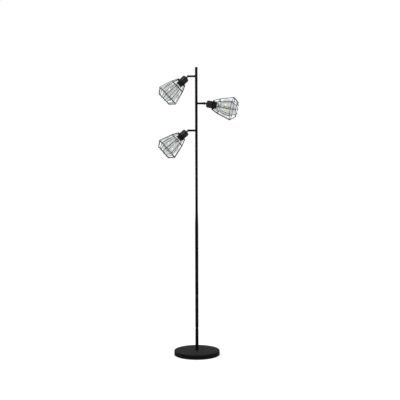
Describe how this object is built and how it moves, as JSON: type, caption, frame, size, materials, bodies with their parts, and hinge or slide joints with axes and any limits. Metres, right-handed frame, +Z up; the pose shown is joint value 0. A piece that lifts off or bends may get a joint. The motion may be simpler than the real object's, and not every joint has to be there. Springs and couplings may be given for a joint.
{
  "type": "wire cage floor lamp",
  "caption": "Floor lamp with a round base, a slim pole and adjustable spot heads, each a bulb in an open wire cage that swivels and tilts on its arm.",
  "frame": {"origin": "on the floor, on the pole's axis, at the middle of the base's underside", "axes": "+Z up along the pole, +X to the right as seen from the front, -Y to the front; the middle head's arm points to +X"},
  "size_m": [0.4474, 0.2563, 1.6],
  "materials": {
    "black_paint": "semi-matte powder coat",
    "black_plastic": "satin moulded",
    "steel": "zinc plated",
    "cast_iron": "raw casting",
    "rubber": "matte",
    "brass": "plain",
    "plated_cap": "plated sheet",
    "clear_glass": "clear",
    "stem_glass": "clear",
    "filament": "phosphor coated"
  },
  "bodies": {
    "stand": {"base_cover": "black_paint", "base_weight": "cast_iron", "base_pad": "rubber", "cable_bushing": "rubber", "foot_stud": "steel", "foot_nut": "steel", "foot_tube": "black_paint", "pole_coupling": "black_paint", "middle_tube": "black_paint", "tube_joiner": "steel", "upper_tube": "black_paint", "pole_plug": "black_plastic", "stop_screws": "steel"},
    "upper_swivel": {"upper_fork": "black_paint", "upper_hinge_screw": "steel"},
    "upper_head": {"upper_tongue": "black_paint", "upper_tongue_nut": "steel", "upper_socket_cap": "black_paint", "upper_lamp_holder": "black_plastic", "upper_centre_contact": "brass", "upper_shade_ring": "black_plastic", "upper_cage_collar": "black_paint", "upper_cage_bars": "black_paint", "upper_cage_rings": "black_paint", "upper_bulb_cap": "plated_cap", "upper_bulb_glass": "clear_glass", "upper_bulb_stem": "stem_glass", "upper_filaments": "filament"},
    "middle_swivel": {"middle_fork": "black_paint", "middle_hinge_screw": "steel"},
    "middle_head": {"middle_tongue": "black_paint", "middle_tongue_nut": "steel", "middle_socket_cap": "black_paint", "middle_lamp_holder": "black_plastic", "middle_centre_contact": "brass", "middle_shade_ring": "black_plastic", "middle_cage_collar": "black_paint", "middle_cage_bars": "black_paint", "middle_cage_rings": "black_paint", "middle_bulb_cap": "plated_cap", "middle_bulb_glass": "clear_glass", "middle_bulb_stem": "stem_glass", "middle_filaments": "filament"},
    "lower_swivel": {"lower_fork": "black_paint", "lower_hinge_screw": "steel"},
    "lower_head": {"lower_tongue": "black_paint", "lower_tongue_nut": "steel", "lower_socket_cap": "black_paint", "lower_lamp_holder": "black_plastic", "lower_centre_contact": "brass", "lower_shade_ring": "black_plastic", "lower_cage_collar": "black_paint", "lower_cage_bars": "black_paint", "lower_cage_rings": "black_paint", "lower_bulb_cap": "plated_cap", "lower_bulb_glass": "clear_glass", "lower_bulb_stem": "stem_glass", "lower_filaments": "filament"}
  },
  "joints": [
    {"name": "upper_swivel_turn", "type": "hinge", "parent": "stand", "child": "upper_swivel", "pos_m": [-0.046, 0, 1.55], "axis": [-1, 0, 0], "range_deg": [-134.5, 135.5]},
    {"name": "upper_head_tilt", "type": "hinge", "parent": "upper_swivel", "child": "upper_head", "pos_m": [-0.046, 0, 1.55], "axis": [0, -1, -0.0087], "range_deg": [-58.5, 31.5]},
    {"name": "middle_swivel_turn", "type": "hinge", "parent": "stand", "child": "middle_swivel", "pos_m": [0.046, 0, 1.4], "axis": [-1, 0, 0], "range_deg": [-172, 98]},
    {"name": "middle_head_tilt", "type": "hinge", "parent": "middle_swivel", "child": "middle_head", "pos_m": [0.046, 0, 1.4], "axis": [0, 0.7986, -0.6018], "range_deg": [-30, 60]},
    {"name": "lower_swivel_turn", "type": "hinge", "parent": "stand", "child": "lower_swivel", "pos_m": [-0.046, 0, 1.25], "axis": [-1, 0, 0], "range_deg": [-140, 130]},
    {"name": "lower_head_tilt", "type": "hinge", "parent": "lower_swivel", "child": "lower_head", "pos_m": [-0.046, 0, 1.25], "axis": [0, -0.9962, 0.0872], "range_deg": [-56.5, 33.5]}
  ]
}
